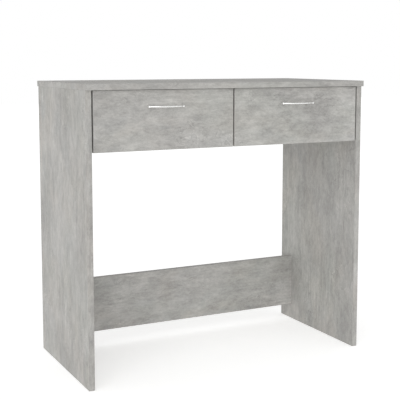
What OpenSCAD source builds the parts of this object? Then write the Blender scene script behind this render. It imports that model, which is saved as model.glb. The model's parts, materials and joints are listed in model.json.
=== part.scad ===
// Writing desk with two drawers: board panels joined with cam locks and dowels, a low stretcher
// near the back, and two shallow drawers that run on roller runners under the top.
// +X is to the right, +Y to the back and +Z up, in millimetres. The origin is on the floor,
// under the middle of the whole desk with its handles.

/* [Desk] */
// Width of the top, edge to edge
desk_w = 800; // [700:10:1000]
// Depth of the top, front edge to back edge
desk_d = 400; // [400:10:500]
// Height of the top's upper face above the floor
desk_h = 750; // [700:5:780]
// Thickness of the main boards
board_t = 15; // [15:0.5:19]
// How far the top reaches past the side panels, in front and behind
top_overhang = 10; // [2:1:15]
// Thickness of the edge bands
band_t = 1; // [0.5:0.5:1.5]

/* [Stretcher and back] */
// Height of the stretcher panel
stretcher_h = 154; // [120:1:200]
// Free height under the stretcher panel
stretcher_gap = 45; // [20:1:120]
// From the side panels' back edges to the stretcher's front face
stretcher_set = 57.5; // [40:0.5:90]
// Height of the upper back panel and the divider under the top
rail_h = 150; // [150:1:180]

/* [Drawers] */
// Gap beside each drawer front
front_gap = 4; // [2:0.5:5]
// Gap between the drawer fronts and the top
top_gap = 1; // [1:0.5:3]
// Thickness of the drawer box's boards
box_t = 12; // [12:1:15]
// Height of the drawer box
box_h = 110; // [105:1:115]
// Height of the box's lower edge above the front's lower edge
box_lift = 12; // [12:1:16]
// Length of the runners and of the drawer box
runner_l = 300; // [250:50:300]
// Space for a runner on each side of the drawer box
side_gap = 12.75; // [12.75:0.25:13.5]
// Share of the runner's length that a drawer pulls out
travel_share = 0.75; // [0.5:0.05:0.75]
// Thickness of the drawer bottom
bottom_t = 3; // [3:0.5:4]

/* [Handles] */
// Spacing of a handle's two screws
handle_c = 92; // [64:4:128]
// From the front's upper edge down to the handle's middle
handle_drop = 41; // [25:1:60]
// How far a handle stands out from the front
handle_reach = 22; // [20:1:30]
// Diameter of a handle's bar
bar_d = 4; // [3.6:0.2:5]

/* [Hidden] */
$fn = 48;
left = -1;
right = 1;
up = [0, 0, 1];
front = [0, -1, 0];
back = [0, 1, 0];

// Places of the boards
handles_out = handle_reach - top_overhang;
top_front = (handles_out - desk_d) / 2;
panel_front = top_front + top_overhang;
panel_d = desk_d - 2 * top_overhang;
panel_back = panel_front + panel_d;
top_z = desk_h - board_t;
inner_w = desk_w - 2 * board_t;
rail_z = top_z - rail_h;
rail_y = panel_back - board_t;
stretcher_y = panel_back - stretcher_set;
divider_space = 1.5;

// Sizes and places of the drawers
bay_w = (inner_w - board_t) / 2;
box_w = bay_w - 2 * side_gap;
front_w = (inner_w - 3 * front_gap) / 2;
front_h = rail_h - top_gap;
front_back = panel_front + board_t;
box_z = rail_z + box_lift;
box_back = front_back + runner_l;
groove_deep = 5;
groove_up = 10;
groove_z = box_z + groove_up;
bottom_in = 4.5;
slack = 0.1;
seam = 0.05;
handle_z = rail_z + front_h - handle_drop;
foot_r = 3.6;
foot_neck = 5;
foot_tap_l = 1.5;
travel = runner_l * travel_share;

// Runners: heights count from the upper face of the channel's lower flange
steel_t = 1;
roller_r = 10;
roller_w = 6.3;
play = 0.3;
channel_h = 21;
flange_w = 9.5;
flange_play = 1.2;
ride_x = 1.8;
channel_z = box_z - 2;
ride_h = channel_h + steel_t + flange_play;
runner_y = front_back + 3;
front_roller_y = runner_y + 14;
front_roller_x = 2.2;
front_roller_h = ride_h - play - roller_r;
rear_roller_y = box_back - 12;
rear_roller_x = 3.9;
rear_roller_h = play + roller_r;
rivet_d = 5;
rivet_head_d = 7;
rivet_head_h = 0.8;
stop_h = 3;
hole_step = 32;
drawer_screw_x = side_gap + 4.5;
runner_holes = [for (k = [0 : 2]) runner_l * (0.14 + 0.32 * k)];
drawer_runner_holes = [for (k = [0 : 2]) runner_l * (0.1 + 0.4 * k)];

// Cam locks, cam bolts, dowels and screws
cam_d = 14.8;
cam_set = 24;
cam_space = 2.5;
cam_pocket = 3.5;
cam_slot = [6.8, 1.2, 1.2];
bolt_d = 6.8;
bolt_neck_d = 3.6;
bolt_head = [6.4, 3];
bolt_thread_d = 5;
bolt_thread_l = 11;
dowel_d = 8;
drawer_dowel_d = 6;
dowel_l = 30;
dowel_in = 11;
screw_slot_w = 0.8;
runner_screw = [3.5, 13, 6.6, 1.2];
flange_screw = [3.5, 11, 6.6, 1.2];
box_screw = [5, 40, 8, 1.8];
handle_screw = [4, board_t + foot_neck + 1, 8, 2.4];

// Each fitting is [point on the meeting plane, way the bolt points, way the cam's mouth faces]
panel_x = (desk_w - board_t) / 2;
stretcher_mid = stretcher_y + board_t / 2;
rail_mid = rail_y + board_t / 2;
panel_fits = [for (s = [left, right], y = [panel_front + 50, panel_back - 50])
    [[s * panel_x, y, top_z], up, [-s, 0, 0]]];
stretcher_fits = [for (s = [left, right], k = [0.21, 0.79])
    [[s * inner_w / 2, stretcher_mid, stretcher_gap + k * stretcher_h], [s, 0, 0], back]];
rail_fits = [for (s = [left, right], k = [0.21, 0.79])
    [[s * inner_w / 2, rail_mid, rail_z + k * rail_h], [s, 0, 0], back]];
divider_fits = [
    for (y = [front_back + 60, rail_y - 60]) [[0, y, top_z], up, [1, 0, 0]],
    for (k = [0.27, 0.77]) [[0, rail_y, rail_z + k * rail_h], back, [1, 0, 0]]
];
cabinet_fits = concat(panel_fits, stretcher_fits, rail_fits, divider_fits);

panel_dowels = [for (s = [left, right], y = [panel_front + 130, panel_back - 130])
    [[s * panel_x, y, top_z], up, back]];
stretcher_dowels = [for (s = [left, right])
    [[s * inner_w / 2, stretcher_mid, stretcher_gap + stretcher_h / 2], [s, 0, 0], back]];
rail_dowels = [
    for (s = [left, right]) [[s * inner_w / 2, rail_mid, rail_z + rail_h / 2], [s, 0, 0], back],
    for (k = [-3, -1, 1, 3]) [[k * inner_w / 8, rail_mid, top_z], up, back]
];
divider_dowels = [
    [[0, (front_back + rail_y) / 2, top_z], up, back],
    [[0, rail_y, rail_z + rail_h / 2], back, up]
];
cabinet_dowels = concat(panel_dowels, stretcher_dowels, rail_dowels, divider_dowels);

// ---- Shared shapes ----

// A box between two opposite corners
module block(low, high) {
    translate(low) cube(high - low);
}

// Puts a fitting's own frame in place: X along the bolt, Z towards the cam's mouth
module place(fit) {
    bolt = fit[1];
    mouth = fit[2];
    side = cross(mouth, bolt);
    multmatrix([
        [bolt.x, side.x, mouth.x, fit[0].x],
        [bolt.y, side.y, mouth.y, fit[0].y],
        [bolt.z, side.z, mouth.z, fit[0].z],
        [0, 0, 0, 1]
    ]) children();
}

// A cylinder along X from one place to another
module rod(d, from, to) {
    translate([from, 0, 0]) rotate([0, 90, 0]) cylinder(d = d, h = to - from);
}

// Cam lock for a board of thickness t, with a pocket for the bolt's head and a cross slot
module cam_lock(t) {
    top = t / 2 - play;
    bottom = cam_space - t / 2 + slack;
    translate([-cam_set, 0, 0]) difference() {
        translate([0, 0, bottom]) cylinder(d = cam_d, h = top - bottom);
        block([-3, -cam_pocket, -cam_pocket], [cam_d, cam_pocket, cam_pocket]);
        for (a = [45, 135]) rotate([0, 0, a])
            block([-cam_slot[0] / 2, -cam_slot[1] / 2, top - cam_slot[2]],
                  [cam_slot[0] / 2, cam_slot[1] / 2, top + 1]);
    }
}

// Cam bolt: wood thread, shank, neck and head
module cam_bolt() {
    rod(bolt_thread_d, -1, bolt_thread_l);
    rod(bolt_d, slack - cam_set + cam_d / 2, 0);
    rod(bolt_neck_d, 1 - cam_set, 1 - cam_set + cam_d / 2);
    rod(bolt_head[0], -1 - cam_set, bolt_head[1] - 1 - cam_set);
}

// Everything that is drilled for one cam lock and its bolt
module cam_drilling(t) {
    translate([-cam_set, 0, cam_space - t / 2]) cylinder(d = cam_d + 2 * slack, h = t);
    rod(bolt_d + 2 * slack, -cam_set, 0.01);
    rod(bolt_thread_d + 2 * slack, 0, bolt_thread_l + 0.5);
}

module dowel(d) {
    rod(d, dowel_in - dowel_l, dowel_in);
}

module dowel_drilling(d) {
    rod(d + 2 * slack, dowel_in - dowel_l - 0.5, dowel_in + 0.5);
}

// Screw along +Z with its head below Z = 0; size is [shank, length, head, head height]
module screw(size) {
    difference() {
        union() {
            cylinder(d = size[0], h = size[1]);
            translate([0, 0, -size[3]]) cylinder(d = size[2], h = size[3]);
        }
        for (a = [0, 90]) rotate([0, 0, a])
            block([-0.3 * size[2], -screw_slot_w / 2, -size[3] - 1],
                  [0.3 * size[2], screw_slot_w / 2, -0.45 * size[3]]);
    }
}

module screw_hole(size) {
    translate([0, 0, -1]) cylinder(d = size[0] + 2 * slack, h = size[1] + 1.2);
}

// ---- Boards and their edge bands ----

module drilled(fits, dowels) {
    difference() {
        children();
        for (fit = fits) place(fit) cam_drilling(board_t);
        for (fit = dowels) place(fit) dowel_drilling(dowel_d);
    }
}

module top_board() {
    color("darkgray") drilled(
        concat(panel_fits, [divider_fits[0], divider_fits[1]]),
        concat(panel_dowels, rail_dowels, divider_dowels)
    )
        block([band_t - desk_w / 2, top_front + band_t, top_z],
              [desk_w / 2 - band_t, top_front + desk_d - band_t, desk_h]);
}

module top_edge_bands() {
    color("gray") {
        for (y = [top_front, top_front + desk_d - band_t])
            block([-desk_w / 2, y, top_z], [desk_w / 2, y + band_t, desk_h]);
        for (x = [-desk_w / 2, desk_w / 2 - band_t])
            block([x, top_front + band_t + seam, top_z],
                  [x + band_t, top_front + desk_d - band_t - seam, desk_h]);
    }
}

module side_panel(side) {
    x = side * panel_x - board_t / 2;
    color("darkgray") difference() {
        drilled(concat(panel_fits, stretcher_fits, rail_fits),
                concat(panel_dowels, stretcher_dowels, rail_dowels))
            block([x, panel_front + band_t, band_t], [x + board_t, panel_back - band_t, top_z]);
        at_runner(side, side) cabinet_screws(side) screw_hole(runner_screw);
    }
}

module side_edge_bands(side) {
    x = side * panel_x - board_t / 2;
    color("gray") {
        for (y = [panel_front, panel_back - band_t])
            block([x, y, 0], [x + board_t, y + band_t, top_z]);
        block([x, panel_front + band_t + seam, 0],
              [x + board_t, panel_back - band_t - seam, band_t]);
    }
}

module stretcher_panel() {
    color("darkgray") drilled(stretcher_fits, stretcher_dowels)
        block([-inner_w / 2, stretcher_y, stretcher_gap + band_t],
              [inner_w / 2, stretcher_y + board_t, stretcher_gap + stretcher_h - band_t]);
}

module stretcher_edge_bands() {
    color("gray") for (z = [stretcher_gap, stretcher_gap + stretcher_h - band_t])
        block([-inner_w / 2, stretcher_y, z], [inner_w / 2, stretcher_y + board_t, z + band_t]);
}

module upper_back_panel() {
    color("darkgray") drilled(concat(rail_fits, divider_fits), concat(rail_dowels, divider_dowels))
        block([-inner_w / 2, rail_y, rail_z + band_t], [inner_w / 2, panel_back, top_z]);
}

module centre_divider() {
    color("darkgray") difference() {
        drilled(divider_fits, divider_dowels)
            block([-board_t / 2, front_back + divider_space + band_t, rail_z + band_t],
                  [board_t / 2, rail_y, top_z]);
        for (d = [left, right]) at_runner(d, -d) cabinet_screws(-d) screw_hole(runner_screw);
    }
}

// Lower edges of the upper back panel and the divider, and the divider's front edge
module inner_edge_bands() {
    divider_front = front_back + divider_space;
    color("gray") {
        block([-inner_w / 2, rail_y, rail_z], [inner_w / 2, panel_back, rail_z + band_t]);
        block([-board_t / 2, divider_front, rail_z], [board_t / 2, divider_front + band_t, top_z]);
        block([-board_t / 2, divider_front + band_t + seam, rail_z],
              [board_t / 2, rail_y - seam, rail_z + band_t]);
    }
}

module cam_locks() {
    color("silver") for (fit = cabinet_fits) place(fit) cam_lock(board_t);
}

module cam_bolts() {
    color("gold") for (fit = cabinet_fits) place(fit) cam_bolt();
}

module dowels() {
    color("burlywood") for (fit = cabinet_dowels) place(fit) dowel(dowel_d);
}

// ---- Runners ----

// Puts a runner's own frame in place: X from the cabinet's face towards the drawer box,
// Z from the channel's running face. One runner is for one side of one drawer.
module at_runner(drawer, side) {
    bay_x = drawer * (board_t + bay_w) / 2;
    translate([bay_x + side * bay_w / 2, 0, channel_z]) mirror([max(side, 0), 0, 0]) children();
}

// Screws of a cabinet member; the right-hand ones use the second hole of each pair,
// so that the screws in the divider pass each other
module cabinet_screws(side) {
    shift = side == right ? hole_step : 0;
    for (y = runner_holes)
        translate([steel_t, runner_y + y + shift, channel_h / 2]) rotate([0, -90, 0]) children();
}

// Channel on the cabinet, with stops for the drawer's roller in front and behind
module cabinet_runner(drawer, side) {
    rear = runner_y + runner_l;
    flange_front = front_roller_y + roller_r + 2;
    rear_stop = rear_roller_y + roller_r + 0.5;
    reach = sqrt(pow(roller_r, 2) - pow(rear_roller_h - stop_h, 2));
    front_stop = rear_roller_y - travel - reach - play - steel_t;
    color("whitesmoke") at_runner(drawer, side) difference() {
        union() {
            block([0, runner_y, -steel_t], [steel_t, rear, channel_h + steel_t]);
            block([0, runner_y, -steel_t], [flange_w, rear, 0]);
            block([0, flange_front, channel_h], [flange_w, rear, channel_h + steel_t]);
            block([0, rear_stop, -steel_t], [flange_w, rear_stop + steel_t, channel_h + steel_t]);
            block([0, front_stop, -steel_t], [flange_w, front_stop + steel_t, stop_h]);
        }
        for (s = [left, right]) cabinet_screws(s)
            translate([0, 0, -1]) cylinder(d = runner_screw[0] + 0.5, h = steel_t + 2);
        translate([0, front_roller_y, front_roller_h]) rod(rivet_d + 2 * slack, -1, steel_t + 1);
    }
}

// Angle on the drawer box: foot under the side, web beside it, and a flange that rides
// on the cabinet's roller
module drawer_runner(drawer, side) {
    front_end = front_back + 0.5;
    web = side_gap - steel_t;
    foot = box_z - channel_z;
    color("whitesmoke") at_runner(drawer, side) difference() {
        union() {
            block([web, front_end, foot - steel_t], [side_gap, box_back, ride_h + steel_t]);
            block([web, front_end, foot - steel_t], [side_gap + box_t - 1, box_back, foot]);
            block([ride_x, front_end, ride_h], [side_gap, box_back, ride_h + steel_t]);
        }
        drawer_screws() translate([0, 0, -1]) cylinder(d = flange_screw[0] + 0.5, h = steel_t + 2);
        translate([0, rear_roller_y, rear_roller_h]) rod(rivet_d + 2 * slack, web - 1, side_gap + 1);
    }
}

module drawer_screws() {
    for (y = drawer_runner_holes)
        translate([drawer_screw_x, front_back + y, box_z - channel_z - steel_t]) children();
}

// Nylon roller about the X axis, with a rounded rim and a bore for its rivet
module roller() {
    rim = 1;
    rotate([0, 90, 0]) rotate_extrude() difference() {
        union() {
            square([roller_r - rim, roller_w]);
            translate([0, rim]) square([roller_r, roller_w - 2 * rim]);
            for (y = [rim, roller_w - rim]) translate([roller_r - rim, y]) circle(r = rim);
        }
        translate([-1, -1]) square([1 + rivet_d / 2 + 0.05, roller_w + 2]);
        for (y = [-1, roller_w - 0.8]) translate([rivet_head_d / 2 + 0.5, y]) square([3, 1.8]);
    }
}

module front_roller(drawer, side) {
    color("white") at_runner(drawer, side)
        translate([front_roller_x, front_roller_y, front_roller_h]) roller();
}

module rear_roller(drawer, side) {
    color("white") at_runner(drawer, side)
        translate([rear_roller_x, rear_roller_y, rear_roller_h]) roller();
}

// Rivet along X: flush end, shoulder up to the roller, shank and head past the roller
module rivet(base, roller_low, roller_high) {
    way = base < roller_low ? 1 : -1;
    near = way > 0 ? roller_low : roller_high;
    far = way > 0 ? roller_high : roller_low;
    shoulder = base + way * steel_t;
    rod(rivet_d, min(base, far + way), max(base, far + way));
    rod(rivet_head_d, min(shoulder, near - way * 0.2), max(shoulder, near - way * 0.2));
    rod(rivet_head_d, min(far + way * 0.2, far + way), max(far + way * 0.2, far + way));
}

module front_rivet(drawer, side) {
    at_runner(drawer, side) translate([0, front_roller_y, front_roller_h])
        rivet(0, front_roller_x, front_roller_x + roller_w);
}

module rear_rivet(drawer, side) {
    at_runner(drawer, side) translate([0, rear_roller_y, rear_roller_h])
        rivet(side_gap, rear_roller_x, rear_roller_x + roller_w);
}

module cabinet_roller_rivets() {
    color("silver") for (drawer = [left, right], side = [left, right]) front_rivet(drawer, side);
}

module cabinet_runner_screws() {
    color("silver") for (drawer = [left, right], side = [left, right])
        at_runner(drawer, side) cabinet_screws(side) screw(runner_screw);
}

// ---- Drawers ----

// Middle of a drawer's front and of its box
function front_x(drawer) = drawer * (front_gap + front_w) / 2;
function box_x(drawer) = drawer * (board_t + bay_w) / 2;

// Fittings between a drawer's sides and its front
function drawer_fits(drawer) = [for (s = [left, right])
    [[box_x(drawer) + s * (box_w - box_t) / 2, front_back, box_z + 0.72 * box_h], front, [-s, 0, 0]]];
function drawer_pins(drawer) = [for (s = [left, right])
    [[box_x(drawer) + s * (box_w - box_t) / 2, front_back, box_z + 0.34 * box_h], front, up]];

module handle_places(drawer) {
    for (s = [left, right]) translate([front_x(drawer) + s * handle_c / 2, 0, handle_z]) children();
}

module drawer_drillings(drawer) {
    for (fit = drawer_fits(drawer)) place(fit) cam_drilling(box_t);
    for (fit = drawer_pins(drawer)) place(fit) dowel_drilling(drawer_dowel_d);
}

// Slot for the bottom: it runs into the sides, the front and the back
module bottom_groove(drawer) {
    x = box_w / 2 - box_t + groove_deep;
    translate([box_x(drawer), 0, 0])
        block([-x, front_back - groove_deep, groove_z - slack],
              [x, box_back - box_t + groove_deep, groove_z + bottom_t + slack]);
}

module drawer_front(drawer) {
    x = front_w / 2 - band_t;
    color("darkgray") difference() {
        translate([front_x(drawer), 0, 0])
            block([-x, panel_front, rail_z + band_t], [x, front_back, rail_z + front_h - band_t]);
        drawer_drillings(drawer);
        bottom_groove(drawer);
        handle_places(drawer) translate([0, front_back + 1, 0])
            rotate([90, 0, 0]) cylinder(d = handle_screw[0] + 1, h = board_t + 2);
    }
}

module drawer_front_bands(drawer) {
    x = front_w / 2;
    color("gray") translate([front_x(drawer), 0, rail_z]) {
        for (at = [-x, x - band_t]) block([at, panel_front, 0], [at + band_t, front_back, front_h]);
        for (z = [0, front_h - band_t])
            block([band_t + seam - x, panel_front, z], [x - band_t - seam, front_back, z + band_t]);
    }
}

module box_screw_places(drawer) {
    for (s = [left, right], k = [0.27, 0.8])
        translate([box_x(drawer) + s * box_w / 2, box_back - box_t / 2, box_z + k * box_h])
            mirror([max(s, 0), 0, 0]) rotate([0, 90, 0]) translate([0, 0, box_screw[3]]) children();
}

module box_screw_hole() {
    screw_hole(box_screw);
    translate([0, 0, -box_screw[3] - 1]) cylinder(d = box_screw[2] + 2 * slack, h = box_screw[3] + 1);
}

module drawer_side(drawer, side) {
    outer = box_x(drawer) + side * box_w / 2;
    inner = outer - side * box_t;
    color("gainsboro") difference() {
        block([min(outer, inner), front_back, box_z], [max(outer, inner), box_back, box_z + box_h]);
        drawer_drillings(drawer);
        bottom_groove(drawer);
        box_screw_places(drawer) box_screw_hole();
        at_runner(drawer, side) drawer_screws() translate([0, 0, steel_t]) screw_hole(flange_screw);
    }
}

module drawer_back(drawer) {
    x = box_w / 2 - box_t;
    color("gainsboro") difference() {
        translate([box_x(drawer), 0, 0])
            block([-x, box_back - box_t, box_z], [x, box_back, box_z + box_h]);
        bottom_groove(drawer);
        box_screw_places(drawer) box_screw_hole();
    }
}

module drawer_bottom(drawer) {
    x = box_w / 2 - box_t + bottom_in;
    color("lightgray") translate([box_x(drawer), 0, groove_z])
        block([-x, front_back - bottom_in, 0], [x, box_back - box_t + bottom_in, bottom_t]);
}

module drawer_roller_rivets(drawer) {
    color("silver") for (side = [left, right]) rear_rivet(drawer, side);
}

module drawer_runner_screws(drawer) {
    color("silver") for (side = [left, right])
        at_runner(drawer, side) drawer_screws() screw(flange_screw);
}

module drawer_cam_locks(drawer) {
    color("silver") for (fit = drawer_fits(drawer)) place(fit) cam_lock(box_t);
}

module drawer_cam_bolts(drawer) {
    color("gold") for (fit = drawer_fits(drawer)) place(fit) cam_bolt();
}

module drawer_dowels(drawer) {
    color("burlywood") for (fit = drawer_pins(drawer)) place(fit) dowel(drawer_dowel_d);
}

module drawer_box_screws(drawer) {
    color("silver") box_screw_places(drawer) screw(box_screw);
}

// ---- Handles ----

// Bow handle in its own frame: X along the bar, Y out from the front. The bar is one arc
// whose ends sink into two domed feet, each with a tapped hole.
module handle(drawer) {
    rise = handle_reach - bar_d / 2 - foot_neck;
    bow_r = (pow(handle_c / 2, 2) + pow(rise, 2)) / (2 * rise);
    bow_a = asin(handle_c / 2 / bow_r);
    color("lightsteelblue")
    translate([front_x(drawer), panel_front, handle_z]) rotate([0, 0, 180]) difference() {
        union() {
            translate([0, foot_neck + rise - bow_r, 0]) rotate([0, 0, 90 - bow_a])
                rotate_extrude(angle = 2 * bow_a) translate([bow_r, 0]) circle(d = bar_d);
            for (s = [left, right]) translate([s * handle_c / 2, 0, 0])
                rotate([-90, 0, 0]) handle_foot();
        }
        for (s = [left, right]) translate([s * handle_c / 2, -1, 0])
            rotate([-90, 0, 0]) cylinder(d = handle_screw[0] + slack, h = 1 + foot_neck + foot_tap_l);
    }
}

module handle_foot() {
    cylinder(r = foot_r, h = foot_neck);
    translate([0, 0, foot_neck]) sphere(r = foot_r);
}

module handle_screws(drawer) {
    color("silver") handle_places(drawer)
        translate([0, front_back, 0]) rotate([90, 0, 0]) screw(handle_screw);
}

top_board();
top_edge_bands();
side_panel(left);  // left_side_panel
side_edge_bands(left);  // left_side_edge_bands
side_panel(right);  // right_side_panel
side_edge_bands(right);  // right_side_edge_bands
stretcher_panel();
stretcher_edge_bands();
upper_back_panel();
centre_divider();
inner_edge_bands();
cam_locks();
cam_bolts();
dowels();
cabinet_runner(left, left);  // left_bay_left_runner
cabinet_runner(left, right);  // left_bay_right_runner
cabinet_runner(right, left);  // right_bay_left_runner
cabinet_runner(right, right);  // right_bay_right_runner
cabinet_runner_screws();
cabinet_roller_rivets();
front_roller(left, left);  // left_bay_left_roller
front_roller(left, right);  // left_bay_right_roller
front_roller(right, left);  // right_bay_left_roller
front_roller(right, right);  // right_bay_right_roller
drawer_front(left);  // left_drawer_front
drawer_front_bands(left);  // left_drawer_front_bands
drawer_side(left, left);  // left_drawer_left_side
drawer_side(left, right);  // left_drawer_right_side
drawer_back(left);  // left_drawer_back
drawer_bottom(left);  // left_drawer_bottom
drawer_runner(left, left);  // left_drawer_left_runner
drawer_runner(left, right);  // left_drawer_right_runner
rear_roller(left, left);  // left_drawer_left_roller
rear_roller(left, right);  // left_drawer_right_roller
drawer_roller_rivets(left);  // left_drawer_roller_rivets
drawer_runner_screws(left);  // left_drawer_runner_screws
drawer_cam_locks(left);  // left_drawer_cam_locks
drawer_cam_bolts(left);  // left_drawer_cam_bolts
drawer_dowels(left);  // left_drawer_dowels
drawer_box_screws(left);  // left_drawer_box_screws
handle(left);  // left_handle
handle_screws(left);  // left_handle_screws
drawer_front(right);  // right_drawer_front
drawer_front_bands(right);  // right_drawer_front_bands
drawer_side(right, left);  // right_drawer_left_side
drawer_side(right, right);  // right_drawer_right_side
drawer_back(right);  // right_drawer_back
drawer_bottom(right);  // right_drawer_bottom
drawer_runner(right, left);  // right_drawer_left_runner
drawer_runner(right, right);  // right_drawer_right_runner
rear_roller(right, left);  // right_drawer_left_roller
rear_roller(right, right);  // right_drawer_right_roller
drawer_roller_rivets(right);  // right_drawer_roller_rivets
drawer_runner_screws(right);  // right_drawer_runner_screws
drawer_cam_locks(right);  // right_drawer_cam_locks
drawer_cam_bolts(right);  // right_drawer_cam_bolts
drawer_dowels(right);  // right_drawer_dowels
drawer_box_screws(right);  // right_drawer_box_screws
handle(right);  // right_handle
handle_screws(right);  // right_handle_screws
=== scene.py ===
import json
import math

import bpy
import numpy as np
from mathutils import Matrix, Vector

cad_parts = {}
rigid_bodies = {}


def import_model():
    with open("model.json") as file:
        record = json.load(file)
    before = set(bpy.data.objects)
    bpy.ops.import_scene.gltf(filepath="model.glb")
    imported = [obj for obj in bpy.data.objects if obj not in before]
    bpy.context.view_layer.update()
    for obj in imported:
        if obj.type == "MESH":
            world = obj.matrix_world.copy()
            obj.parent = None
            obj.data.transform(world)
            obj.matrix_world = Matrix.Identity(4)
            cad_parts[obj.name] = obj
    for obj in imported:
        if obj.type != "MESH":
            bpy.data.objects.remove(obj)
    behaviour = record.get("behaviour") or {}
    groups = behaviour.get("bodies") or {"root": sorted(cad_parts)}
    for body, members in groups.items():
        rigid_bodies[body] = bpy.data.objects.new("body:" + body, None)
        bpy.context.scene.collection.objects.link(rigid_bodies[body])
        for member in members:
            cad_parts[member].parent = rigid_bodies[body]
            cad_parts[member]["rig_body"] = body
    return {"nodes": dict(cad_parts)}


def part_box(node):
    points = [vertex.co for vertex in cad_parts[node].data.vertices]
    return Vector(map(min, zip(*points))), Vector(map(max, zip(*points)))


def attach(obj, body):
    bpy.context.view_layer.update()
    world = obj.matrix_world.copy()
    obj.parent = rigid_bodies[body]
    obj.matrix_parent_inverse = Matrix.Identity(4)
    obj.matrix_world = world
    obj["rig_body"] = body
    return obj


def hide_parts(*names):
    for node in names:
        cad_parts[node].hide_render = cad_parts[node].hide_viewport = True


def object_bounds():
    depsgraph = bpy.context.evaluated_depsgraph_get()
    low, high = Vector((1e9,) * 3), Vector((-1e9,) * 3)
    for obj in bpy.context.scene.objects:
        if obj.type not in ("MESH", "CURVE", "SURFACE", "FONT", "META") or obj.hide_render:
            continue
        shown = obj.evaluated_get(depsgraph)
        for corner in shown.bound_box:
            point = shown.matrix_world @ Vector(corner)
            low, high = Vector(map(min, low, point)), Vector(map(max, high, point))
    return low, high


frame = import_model()
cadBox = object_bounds()

mm = 0.001
sides = {"left": -1, "right": 1}


# Surfaces. A shell is (points, faces), and each face is four corners. A triangle repeats
# its last corner.

def gridShell(points, capped=True):
    # points is rows x columns x 3, each row a ring round the section. Neighbouring rows are
    # joined by quads, and capped closes the first and last row by fans to their middle.
    rows, columns = points.shape[:2]
    index = np.arange(rows * columns).reshape(rows, columns)
    following = np.roll(index, -1, axis=1)
    quads = np.stack([index[:-1], following[:-1], following[1:], index[1:]], axis=-1).reshape(-1, 4)
    allPoints, allFaces = [points.reshape(-1, 3)], [quads]
    for added, row in enumerate((0, -1) if capped else ()):
        middle = np.full(columns, rows * columns + added)
        fan = [following[row], index[row]] if row == 0 else [index[row], following[row]]
        allFaces.append(np.stack([*fan, middle, middle], axis=-1))
        allPoints.append(points[row].mean(axis=0)[None])
    return outward(np.concatenate(allPoints), np.concatenate(allFaces))


def outward(points, faces):
    # The volume is the sum over triangles of a . (b x c) / 6. A negative one means that the
    # faces look inwards, so their corners are taken in the other order.
    a, b, c, d = (points[faces[:, k]] for k in range(4))
    volume = (np.einsum("ij,ij->i", a, np.cross(b, c)) + np.einsum("ij,ij->i", a, np.cross(c, d))).sum()
    return points, faces if volume > 0 else faces[:, [1, 0, 3, 2]]


def makePiece(name, shells, material, body, replaced=(), sharp=40):
    # Joins shells into one mesh and puts it on its CAD body. Edges turned by more than sharp
    # degrees stay crisp.
    starts = np.cumsum([0] + [len(points) for points, _ in shells])
    points = np.concatenate([points for points, _ in shells])
    faces = np.concatenate([faces + start for (_, faces), start in zip(shells, starts)])
    isTriangle = faces[:, 2] == faces[:, 3]
    sizes = np.where(isTriangle, 3, 4)
    keep = np.ones(faces.shape, bool)
    keep[isTriangle, 3] = False
    corners = faces[keep]
    mesh = bpy.data.meshes.new(name)
    mesh.vertices.add(len(points))
    mesh.vertices.foreach_set("co", points.astype(np.float32).ravel())
    mesh.loops.add(len(corners))
    mesh.loops.foreach_set("vertex_index", corners.astype(np.int32))
    mesh.polygons.add(len(faces))
    firsts = np.concatenate([[0], np.cumsum(sizes)[:-1]])
    mesh.polygons.foreach_set("loop_start", firsts.astype(np.int32))
    mesh.update(calc_edges=True)
    mesh.validate()
    mesh.shade_smooth()
    mesh.set_sharp_from_angle(angle=math.radians(sharp))
    mesh.materials.append(material)
    piece = bpy.data.objects.new(name, mesh)
    bpy.context.scene.collection.objects.link(piece)
    if replaced:
        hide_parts(*replaced)
    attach(piece, body)


def basis(axis):
    # Three unit vectors at right angles, the first along axis
    axis = np.array(axis, float) / np.linalg.norm(axis)
    helper = np.array([0.0, 0.0, 1.0]) if abs(axis[2]) < 0.9 else np.array([0.0, 1.0, 0.0])
    side = np.cross(helper, axis)
    side /= np.linalg.norm(side)
    return axis, side, np.cross(axis, side)


def circleTurns(count):
    # Angles that share one full turn evenly
    return np.linspace(0, 2 * np.pi, count, endpoint=False)


def turnedRings(along, radius, centre, axis, count):
    # A ring for each row: centre + along * axis + radius * (cos t * side + sin t * other).
    # radius has one column, or one for each of the count turns.
    turn = circleTurns(count)
    axis, side, other = basis(axis)
    return (np.array(centre) + along[:, None, None] * axis
            + radius[..., None] * (np.cos(turn)[None, :, None] * side
                                   + np.sin(turn)[None, :, None] * other))


def lathe(profile, centre, axis, count):
    # profile holds (distance along the axis, radius) rows, and each becomes a ring
    along, radius = np.array(profile, float).T
    return gridShell(turnedRings(along, radius[:, None], centre, axis, count))


def sweep(path, section, sideways, upwards):
    # Carries section, rows of (a, b), along path: point = path + a * sideways + b * upwards.
    # sideways and upwards have one row for each path point.
    points = (path[:, None] + section[None, :, 0, None] * sideways[:, None]
              + section[None, :, 1, None] * upwards[:, None])
    return gridShell(points)


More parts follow.
